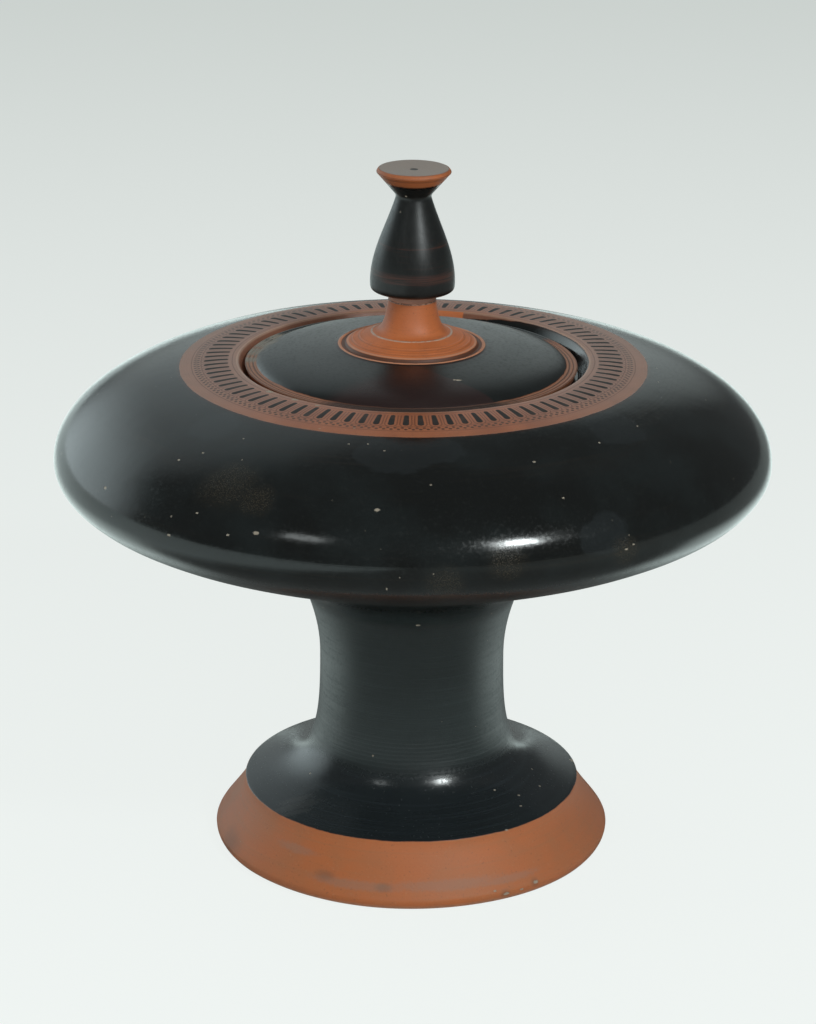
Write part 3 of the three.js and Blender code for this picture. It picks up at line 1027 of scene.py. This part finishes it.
lid_outline += straight((RIDGE_RADIUS - BOSS_GAP, dome_top), (BOSS_RADIUS, boss_edge), 3)
lid_outline += straight((BOSS_RADIUS, boss_edge), (KNOB_STEM_FOOT_RADIUS, boss_top), 30)
lid_outline += bend(
    (KNOB_STEM_FOOT_RADIUS, boss_top),
    (KNOB_STEM_FOOT_RADIUS - TRUMPET_FLARE * (KNOB_STEM_FOOT_RADIUS - KNOB_STEM_RADIUS), boss_top),
    (KNOB_STEM_RADIUS + KNOB_STEM_TAPER, knob_base - TRUMPET_STRAIGHTNESS * KNOB_STEM_HEIGHT),
    (KNOB_STEM_RADIUS, knob_base),
    26,
)
pear_shoulder = pear_base + PEAR_SHOULDER
pear_body = pear_top - pear_shoulder
pear_taper = PEAR_RADIUS - PEAR_NECK_RADIUS
pear_foot = (PEAR_RADIUS - PEAR_BASE_INSET, pear_base)
lid_outline += straight((KNOB_STEM_RADIUS, knob_base), (KNOB_STEM_RADIUS, pear_base), 8)
lid_outline += straight((KNOB_STEM_RADIUS, pear_base), pear_foot, 6)
lid_outline += bend(
    pear_foot,
    (PEAR_RADIUS, pear_base + PEAR_SHOULDER / 4),
    (PEAR_RADIUS, pear_base + PEAR_SHOULDER / 2),
    (PEAR_RADIUS, pear_shoulder),
    14,
)
lid_outline += bend(
    (PEAR_RADIUS, pear_shoulder),
    (PEAR_RADIUS, pear_shoulder + PEAR_FULLNESS * pear_body),
    (PEAR_NECK_RADIUS + PEAR_FULLNESS * pear_taper, pear_top - PEAR_FULLNESS * pear_body),
    (PEAR_NECK_RADIUS, pear_top),
    40,
)
cap_underside = (CAP_RADIUS - CAP_EDGE_ROUNDING, cap_rim - CAP_EDGE_ROUNDING)
lid_outline += straight((PEAR_NECK_RADIUS, pear_top), cap_underside, 16)
lid_outline += straight(cap_underside, (CAP_RADIUS, cap_rim), 4)
lid_outline += straight((CAP_RADIUS, cap_rim), (CAP_RADIUS - CAP_EDGE_ROUNDING, cap_top), 6)
lid_outline += straight((CAP_RADIUS - CAP_EDGE_ROUNDING, cap_top), (0, cap_top - CAP_DISH), 26)

for corner, rounding in (
    ((flange_inner, -FLANGE_DEPTH), FLANGE_ROUNDING),
    ((flange_outer, -FLANGE_DEPTH), FLANGE_ROUNDING),
    ((lid_radius - LID_EDGE_TAPER, 0), EDGE_ROUNDING),
    ((lid_radius, LID_RIM_THICKNESS), LID_EDGE_ROUNDING),
    ((BOSS_RADIUS, boss_edge), BOSS_EDGE_ROUNDING),
    (pear_foot, PEAR_FOOT_ROUNDING),
    ((KNOB_STEM_RADIUS, pear_base), PEAR_ROOT_ROUNDING),
    ((PEAR_NECK_RADIUS, pear_top), NECK_ROUNDING),
    ((CAP_RADIUS, cap_rim), CAP_RIM_ROUNDING),
    ((CAP_RADIUS - CAP_EDGE_ROUNDING, cap_top), CAP_RIM_ROUNDING),
):
    lid_outline = rounded(lid_outline, corner, rounding)


def swell(value, centre, width):
    """How much of a small bump stands at a distance from its centre."""
    return math.exp(-(((value - centre) / width) ** 2))


for p in lid_outline:
    on_top = p.y > LID_RIM_THICKNESS - 0.1
    if on_top and inner_rim - 1 < p.x < lid_radius - 1:
        p.y -= RIM_GROOVE_DEPTH * sum(swell(p.x, groove, RIM_GROOVE_WIDTH) for groove in RIM_GROOVES)
    if on_top and RIDGE_RADIUS - 1 < p.x < RIDGE_RADIUS + 2 and p.y < boss_edge:
        p.y += RIDGE_HEIGHT * swell(p.x, RIDGE_RADIUS, RIDGE_WIDTH)
    if KNOB_STEM_FOOT_RADIUS < p.x < BOSS_RADIUS and dome_top < p.y <= boss_top:
        p.y += BOSS_STEP_HEIGHT * sum(swell(p.x, step, BOSS_STEP_WIDTH) for step in BOSS_STEPS)

lid = spin_on_wheel("thrown_lid", lid_outline, LID_SIDES)
hand_tremor(lid, LID_TREMOR, LID_TREMOR_SPACING)
tilt = math.radians(LID_TILT)
lid_seat = (-LID_SHIFT * MM, 0, (ledge_level + SEAT_GAP + lid_radius * math.sin(tilt)) * MM)
lid.rotation_euler = (0, tilt, 0)
lid.location = lid_seat
bpy.ops.object.transform_apply(location=True, rotation=True, scale=False)

LID_CLAY = (0.63, 0.170, 0.047, 1)
LID_CLAY_SHADOW = (0.45, 0.122, 0.038, 1)
CAP_TOP_CLAY = (0.31, 0.285, 0.255, 1)
CAP_CLAY = (0.30, 0.095, 0.036, 1)
RIM_CLAY = (0.27, 0.135, 0.085, 1)
COLLAR_CLAY = (0.42, 0.26, 0.20, 1)
PEAR_BLACK = (0.0095, 0.0088, 0.0080, 1)
PEAR_RED = (0.075, 0.024, 0.015, 1)
RIM_STAIN = (0.035, 0.021, 0.016, 1)
DARK_RED_BROWN = (0.030, 0.013, 0.012, 1)
BUFF_WEAR = (0.27, 0.24, 0.20, 1)
INCRUSTATION = (0.56, 0.42, 0.33, 1)
DARK_LINE_BROWN = (0.030, 0.016, 0.011, 1)
CRACK_DARK = (0.05, 0.03, 0.022, 1)
CENTRE_DARK = (0.02, 0.018, 0.016, 1)

RIM_BARE = (-1.85, 2.05)
RIM_LINES = ((52.3, 52.75), (53.7, 54.0), (54.9, 55.2))
RIM_STAIN_TURN = (-0.25, 0.85)
RIM_STAIN_EDGE = (55.2, 54.8)
BOSS_LINES = ((19.8, 20.1), (17.5, 17.8))
BOSS_WEAR = ((23.5, 24.4), (20.9, 21.5))
BROWN_RING = (24.5, 25.7)
CRUST_RING = (12.9, 13.6)
PEAR_GLOSS_TOP = 64.0
PEAR_STREAKS = (30.0, 55.0)
PEAR_WIDE_RING = (33.4, 36.4)
PEAR_FINE_RING = (44.5, 45.0)
CAP_BARE = (64.4, 65.5)
CAP_START = (60.0, 61.0)
CAP_LINES = ((66.9, 67.15), (68.1, 68.3))
CAP_RING = (11.2, 11.5)
CAP_DISC_EDGE = (11.6, 11.2)
CAP_DISC_LEVEL = (68.2, 68.4)
CENTRE_DOT = (1.5, 1.2)
WEDGE_SLANT = 0.75
WEDGE_RIGHT_EDGE = (-23.7, -24.7)
WEDGE_LEFT_EDGE = (-20.0, -30.0)

LID_CHIPS = [
    (57.5, 43.0, 6.5, 0.35),
    (50.9, 44.1, 6.2, 0.35),
    (45.7, 46.7, 5.3, 0.35),
    (23.5, 37.6, 8.2, 0.9, (0.55, 1.5, 1.5)),
    (-23.1, 6.5, 61.1, 0.4),
]
LID_WORN = [
    (-100.0, 53.2, 3.5, 4.5),
    (-110.0, 53.0, 3.5, 5.0),
    (-120.0, 52.8, 3.6, 4.0),
    (-90.0, 53.6, 3.5, 3.0),
    (-106.0, 49.5, 4.4, 3.0),
]

lid_finish, tree, shader, place = new_finish("painted_lid", lid_seat, (0, tilt, 0))
wheel = use(tree, wheel_place, Place=place)
radius, height, turn = wheel["Radius"], wheel["Height"], wheel["Turn"]
streaks = streaked(tree, wheel, 1.4)
fine_streaks = streaked(tree, wheel, 3.0)
wander = noise(tree, place, 0.2, 3.0)
torn = noise(tree, place, 0.9, 2.0)
unsteady = scaled(tree, wander, 0.36, -0.18)
brushed_radius = maths(tree, "ADD", radius, unsteady)
brushed_height = maths(tree, "ADD", height, unsteady)

# Where the clay is left bare: most of the rim, the boss, the knob's stem and the cap's top
below_knob = soft_step(tree, brushed_height, pear_base, pear_base - 0.3)
rim = soft_step(tree, brushed_radius, inner_rim - 0.3, inner_rim)
rim = times(tree, rim, below_knob, ring(tree, turn, *RIM_BARE, 0.12))
boss = times(tree, soft_step(tree, brushed_radius, RIDGE_RADIUS + 0.6, RIDGE_RADIUS + 0.3), below_knob)
cap_bare = soft_step(tree, brushed_height, *CAP_BARE)
on_cap = soft_step(tree, height, *CAP_START)
bare = strongest(tree, rim, boss, cap_bare)
covered = outside(tree, bare)

# The turned lines and the gap round the boss, painted darker
boss_gap = ring(tree, radius, BOSS_RADIUS - 0.05, RIDGE_RADIUS - 0.65, 0.12)
boss_lines = strongest(tree, boss_gap, times(tree, rings(tree, radius, BOSS_LINES, 0.2), 0.35))
cap_lines = strongest(tree, rings(tree, height, CAP_LINES, 0.1), ring(tree, radius, *CAP_RING, 0.12))
lines = strongest(
    tree,
    times(tree, rings(tree, radius, RIM_LINES, 0.12), rim, 0.7),
    times(tree, boss_lines, below_knob, 0.85),
    times(tree, cap_lines, on_cap, 0.45),
)

# A dark reddish wedge on the front of the dome, the stains, and what has worn, cracked or chipped since
flat_place = put(tree, "SeparateXYZ", place).outputs
right_edge = scaled(tree, flat_place[0], WEDGE_SLANT, flat_place[1])
right_edge = soft_step(tree, right_edge, *WEDGE_RIGHT_EDGE)
left_edge = scaled(tree, flat_place[0], -WEDGE_SLANT, flat_place[1])
left_edge = soft_step(tree, left_edge, *WEDGE_LEFT_EDGE)
front_wedge = times(tree, right_edge, left_edge, strongest(tree, covered, rim))
brown_ring = times(tree, ring(tree, radius, *BROWN_RING, 0.4), 0.5, covered)
rim_stain = ring(tree, scaled(tree, wander, 0.4, turn), *RIM_STAIN_TURN, 0.15)
rim_stain = times(tree, rim_stain, rim, soft_step(tree, radius, *RIM_STAIN_EDGE))
pear_zone = times(tree, ring(tree, height, pear_base + 0.2, PEAR_GLOSS_TOP, 0.5), 0.45)
pear_streaks = times(tree, ring(tree, height, *PEAR_STREAKS, 4.0), soft_step(tree, streaks, 0.55, 0.68))
pear_rings = ring(tree, brushed_height, *PEAR_WIDE_RING, 0.8)
pear_rings = strongest(tree, pear_rings, ring(tree, brushed_height, *PEAR_FINE_RING, 0.25))
pear_rings = times(tree, pear_rings, 0.8, soft_step(tree, fine_streaks, 0.35, 0.6))
cap_disc = times(tree, soft_step(tree, radius, *CAP_DISC_EDGE), soft_step(tree, height, *CAP_DISC_LEVEL))
centre_dot = times(tree, soft_step(tree, radius, *CENTRE_DOT), on_cap)
collar = ring(tree, brushed_height, knob_base + 0.3, pear_base - 0.1, 0.15)
crack = ring(tree, brushed_height, knob_base - 0.25, knob_base + 0.25, 0.12)
crack_dark = times(tree, crack, soft_step(tree, torn, 0.4, 0.5))
crust = times(tree, ring(tree, brushed_radius, *CRUST_RING, 0.2), below_knob)
crust = times(tree, crust, scaled(tree, soft_step(tree, torn, 0.36, 0.52), 0.5, 0.45))
worn = marked(tree, place, torn, 0.5, LID_WORN)
worn = times(tree, worn, soft_step(tree, torn, 0.25, 0.45))
flecks = use(tree, lost_flecks, Place=place, Density=0.22, Share=0.10, Size=0.07)["Mask"]
lost = strongest(tree, times(tree, flecks, 0.3), marked(tree, place, torn, 0.15, LID_CHIPS))

gloss = use(tree, black_gloss, Place=place, Streaks=streaks, Brown=times(tree, pear_streaks, 0.6))
clay = use(tree, fired_clay, Place=place, Streaks=fine_streaks, Clay=LID_CLAY, Shadow=LID_CLAY_SHADOW)
clay_shade = layered(
    tree,
    clay["Color"],
    (rim, 0.8, RIM_CLAY),
    (cap_bare, scaled(tree, wander, 0.7, 0.15), CAP_CLAY),
    (lines, DARK_LINE_BROWN),
    (cap_disc, 0.85, CAP_TOP_CLAY),
)
colour = layered(
    tree,
    clay_shade,
    (covered, gloss["Color"]),
    (pear_zone, PEAR_BLACK),
    (pear_rings, PEAR_RED),
    (strongest(tree, times(tree, front_wedge, 0.75), brown_ring), DARK_RED_BROWN),
    (rim_stain, 0.8, RIM_STAIN),
    (collar, 0.75, COLLAR_CLAY),
    (rings(tree, radius, BOSS_WEAR, 0.15), below_knob, 0.45, PALE_WEAR_AND_HIGHLIGHT),
    (crack, 0.7, INCRUSTATION),
    (crack_dark, 0.6, CRACK_DARK),
    (crust, INCRUSTATION),
    (centre_dot, CENTRE_DARK),
    (worn, BUFF_WEAR),
    (lost, CHIP_CLAY),
)
roughness = raised(
    tree,
    blend_value(tree, covered, clay["Roughness"], gloss["Roughness"]),
    (strongest(tree, lost, worn), 0.35),
    (pear_zone, 0.50),
    (times(tree, covered, below_knob), 0.16),
    (bare, 0.10),
)
relief = raised(
    tree,
    blend_value(tree, covered, clay["Height"], gloss["Height"]),
    (strongest(tree, lost, crack_dark), -0.14),
    (lines, -0.06),
    (crust, 0.12),
)
finished(tree, shader, colour, roughness, relief)


def hidden_in_lid(radius, height, outward, upward):
    """The test runs in heights above the lid's seat in the mouth, with the lid already aslant."""
    own_height = height - lid_seat[2] / MM
    ceiling = own_height < dome_top - 2 and upward < -0.3
    flange = own_height < LID_RIM_THICKNESS and radius < flange_outer + 0.5
    return ceiling or flange


lid.data.materials.append(lid_finish)
lid.data.materials.append(inner_clay)
bare_where(lid, hidden_in_lid)
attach(lid, "root")
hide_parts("lid")

# The studio: a wide pale floor, lit by two soft boxes in front and by two broad soft lights that
# aren't mirrored in the gloss; to the camera the floor is mostly a painted glow, brighter in front
# and fading towards the back. What the gloss mirrors is the glow of the floor round the pot and
# three soft glows in the air: a window at the far left, one above it, and the backdrop.
FLOOR_REACH = 9.0
FLOOR_PAINT = (0.80, 0.82, 0.81, 1)
FLOOR_NEAR = (0.935, 0.975, 0.955, 1)
FLOOR_FAR = (0.615, 0.660, 0.635, 1)
FLOOR_FADE = (-0.55, 2.0)
FLOOR_GLOW_SHARE = 0.90
MIRRORED_FRONT = (0.19, 0.21, 0.205, 1)
MIRRORED_LEFT = (0.70, 0.83, 0.82, 1)
MIRRORED_RIGHT = (0.27, 0.31, 0.30, 1)
MIRRORED_SIDES = (1.20, 1.42, 1.38, 1)
LEFT_FADE = (-0.15, -0.33)
RIGHT_FADE = (0.15, 0.40)
SIDES_START = (0.08, 0.17)
SIDES_END = (0.24, 0.45)
SIDES_DEPTH = (-0.07, 0.02)
AIR_DIM = (0.100, 0.108, 0.108, 1)
AIR_SEEN = (0.605, 0.650, 0.625, 1)
AIR_GLOWS = (
    ((0.0, 0.961, 0.276), 0.92, 0.995, (0.60, 0.68, 0.67, 1)),
    ((-0.441, 0.765, 0.469), 0.84, 0.98, (0.42, 0.48, 0.49, 1)),
    ((-0.784, 0.612, 0.105), 0.80, 1.0, (1.38, 1.62, 1.66, 1)),
)

bpy.ops.mesh.primitive_circle_add(vertices=96, radius=FLOOR_REACH, fill_type="NGON")
floor = bpy.context.object
floor.name = "studio_floor"
floor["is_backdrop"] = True
floor_finish = bpy.data.materials.new("pale_floor")
floor_finish.use_nodes = True
tree = floor_finish.node_tree
shader = tree.nodes["Principled BSDF"]
shader.inputs["Base Color"].default_value = FLOOR_PAINT
shader.inputs["Roughness"].default_value = 0.9
shader.inputs["Specular IOR Level"].default_value = 0.1
spot = put(tree, "SeparateXYZ", put(tree, "TexCoord").outputs["Object"]).outputs
across, depth = spot[0], spot[1]
rays = put(tree, "LightPath").outputs
# What the camera sees of the floor is nine tenths a painted glow, brighter in front and fading towards the
# back, and one tenth the lit paint
bright = blend(tree, soft_step(tree, depth, *FLOOR_FADE), FLOOR_NEAR, FLOOR_FAR)
glow = put(tree, "Emission", bright, 1.0).outputs[0]
glow_share = times(tree, rays["Is Camera Ray"], FLOOR_GLOW_SHARE)
glow_and_lit = put(tree, "MixShader", glow_share, shader.outputs[0], glow).outputs[0]
aside = maths(tree, "ABSOLUTE", across)
sides = maths(tree, "SUBTRACT", soft_step(tree, aside, *SIDES_START), soft_step(tree, aside, *SIDES_END))
mirrored = layered(
    tree,
    MIRRORED_FRONT,
    (soft_step(tree, across, *LEFT_FADE), MIRRORED_LEFT),
    (soft_step(tree, across, *RIGHT_FADE), MIRRORED_RIGHT),
    (sides, soft_step(tree, depth, *SIDES_DEPTH), MIRRORED_SIDES),
)
mirror_glow = put(tree, "Emission", mirrored, 1.0).outputs[0]
surface = put(tree, "MixShader", rays["Is Glossy Ray"], glow_and_lit, mirror_glow).outputs[0]
join(tree, surface, tree.nodes["Material Output"].inputs["Surface"])
floor.data.materials.append(floor_finish)

world = bpy.data.worlds.new("studio")
bpy.context.scene.world = world
world.use_nodes = True
tree = world.node_tree
way = put(tree, "TexCoord").outputs["Generated"]
air = AIR_DIM
for toward, start, full, shine in AIR_GLOWS:
    facing = put(tree, "VectorMath", way, toward, operation="DOT_PRODUCT").outputs["Value"]
    air = blend(tree, soft_step(tree, facing, start, full), air, shine)
air = blend(tree, put(tree, "LightPath").outputs["Is Camera Ray"], air, AIR_SEEN)
join(tree, air, tree.nodes["Background"].inputs["Color"])

LAMP_COLOUR = (0.93, 1.0, 1.0)
POT_MIDDLE = Vector((0, 0, 0.12))


def soft_box(name, turn, lift, distance, width, height, radiance, mirrored=True):
    """A soft rectangular light at a turn and a lift round the pot, facing it, of a given brightness."""
    sideways, upward = math.radians(turn), math.radians(lift)
    level = math.cos(upward)
    way = Vector((math.sin(sideways) * level, -math.cos(sideways) * level, math.sin(upward)))
    lamp = bpy.data.lights.new(name, "AREA")
    lamp.shape = "RECTANGLE"
    lamp.size = width
    lamp.size_y = height
    lamp.energy = radiance * math.pi * width * height
    lamp.color = LAMP_COLOUR
    box = bpy.data.objects.new(name, lamp)
    box.location = POT_MIDDLE + way * distance
    box.rotation_mode = "QUATERNION"
    box.rotation_quaternion = (-way).to_track_quat("-Z", "Y")
    box.visible_camera = False
    box.visible_glossy = mirrored
    bpy.context.scene.collection.objects.link(box)


soft_box("soft_box_right", 35.5, 36, 1.5, 0.22, 0.15, 60.0)
soft_box("soft_box_right_rim", 36.5, 36.5, 1.51, 0.42, 0.26, 1.6)
soft_box("soft_box_right_halo", 39, 38, 1.52, 0.66, 0.36, 0.35)
soft_box("soft_box_left", -38, 41, 1.5, 0.28, 0.19, 2.9)
soft_box("front_fill", 0, 20, 1.6, 1.6, 1.0, 1.5, mirrored=False)
soft_box("overhead", 0, 90, 2.2, 3.2, 3.2, 0.33, mirrored=False)

PICTURE_HEIGHT = 1024
FOCAL_PIXELS = 3237.9
FILM = 36.0
CAMERA_PLACE = (-1.54, -1030.33, 483.97)
CAMERA_DIP = 19.638
CAMERA_ROLL = 0.273

lens = bpy.data.cameras.new("viewer")
lens.sensor_width = FILM
lens.lens = FOCAL_PIXELS * FILM / PICTURE_HEIGHT
camera = bpy.data.objects.new("viewer", lens)
stand = Matrix.Translation(Vector(CAMERA_PLACE) * MM)
dip = Matrix.Rotation(math.radians(90 - CAMERA_DIP), 4, "X")
roll = Matrix.Rotation(math.radians(CAMERA_ROLL), 4, "Z")
camera.matrix_world = stand @ dip @ roll
bpy.context.scene.collection.objects.link(camera)
bpy.context.scene.camera = camera
bpy.context.scene.view_settings.view_transform = "Standard"

low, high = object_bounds()
